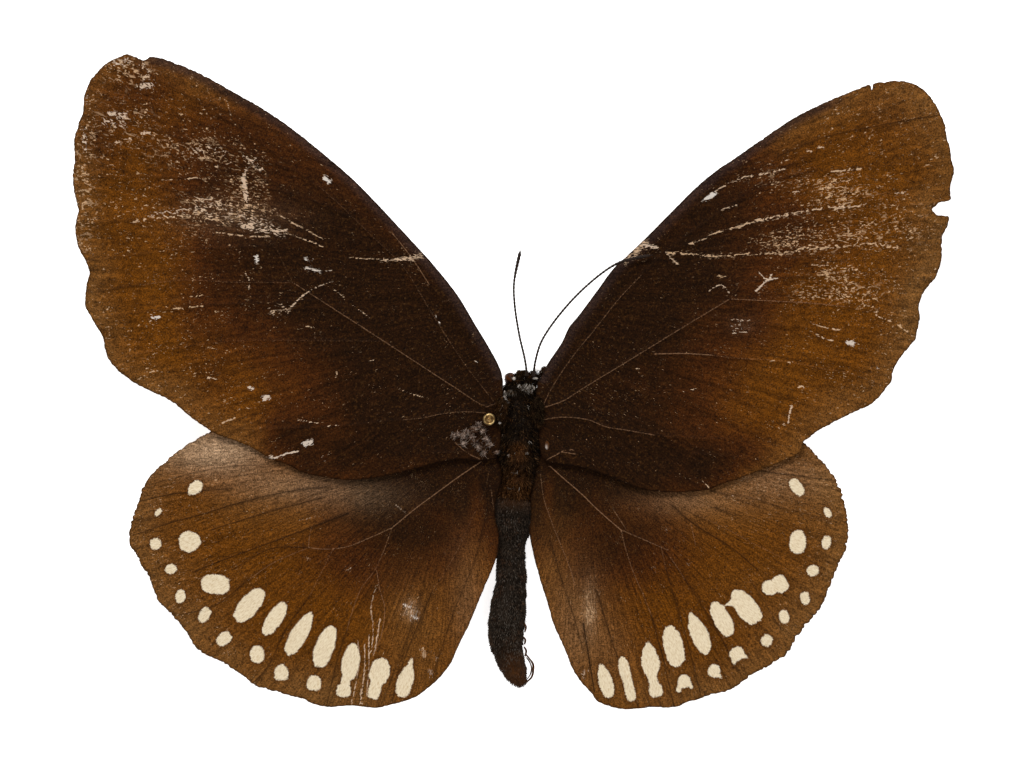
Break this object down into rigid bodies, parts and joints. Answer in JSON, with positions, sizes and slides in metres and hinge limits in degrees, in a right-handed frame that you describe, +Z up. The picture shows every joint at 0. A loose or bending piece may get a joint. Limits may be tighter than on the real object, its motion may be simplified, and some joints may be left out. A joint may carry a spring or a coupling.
{
  "type": "pinned butterfly specimen",
  "caption": "Dry, spread brown butterfly with cream spots along the hindwings, pinned through the wing root and lying wings open on its legs and belly.",
  "frame": {"origin": "on the surface that the specimen rests on, under the middle of its whole outline", "axes": "+X towards the specimen's right wings, +Y towards its head, +Z up, out of the upper sides of the wings"},
  "size_m": [0.0801, 0.0597, 0.0057],
  "materials": {
    "forewing": "satin",
    "hindwing": "satin",
    "body_fur": "matte",
    "eye": "gloss",
    "horn": "satin",
    "pin_brass": "polished"
  },
  "bodies": {
    "root": {"forewing_left": "forewing", "forewing_right": "forewing", "hindwing_left": "hindwing", "hindwing_right": "hindwing", "thorax": "body_fur", "abdomen": "body_fur", "head": "body_fur", "tegula_left": "body_fur", "tegula_right": "body_fur", "eye_left": "eye", "eye_right": "eye", "palp_left": "body_fur", "palp_right": "body_fur", "proboscis": "horn", "antenna_left": "horn", "antenna_right": "horn", "foreleg_left": "horn", "foreleg_right": "horn", "leg_middle_left": "horn", "leg_middle_right": "horn", "leg_hind_left": "horn", "leg_hind_right": "horn", "pin": "pin_brass"}
  },
  "joints": []
}
